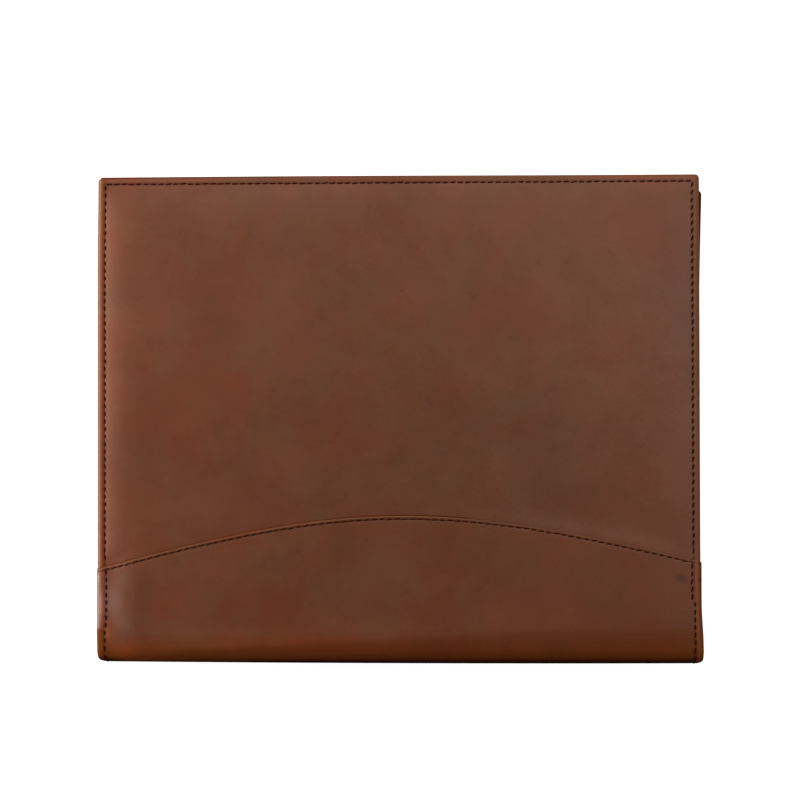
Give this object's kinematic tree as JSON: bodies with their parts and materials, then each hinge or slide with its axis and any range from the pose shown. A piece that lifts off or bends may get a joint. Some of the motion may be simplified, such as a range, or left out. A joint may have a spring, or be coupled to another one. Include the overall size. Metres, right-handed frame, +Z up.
{
  "type": "leather resume holder",
  "caption": "Folded leather document holder lying flat: padded covers joined by an arch-edged spine panel, with a dark lining and an open slot for letter paper between the covers.",
  "frame": {"origin": "on the surface it rests on, under the middle of the folder's box", "axes": "+X along the fold, to the right of the picture; +Y from the fold towards the free edges; +Z up, out of the front cover"},
  "size_m": [0.3206, 0.258, 0.0198],
  "materials": {
    "leather": "waxed brown pull-up leather, soft sheen, mottled, lighter where bent",
    "spine_leather": "the same leather, a little darker, sewn on top with dark brown thread",
    "lining": "matte black woven lining"
  },
  "bodies": {
    "root": {"front_cover": "leather", "back_cover": "leather", "spine_panel": "spine_leather", "lining": "lining"}
  },
  "joints": []
}
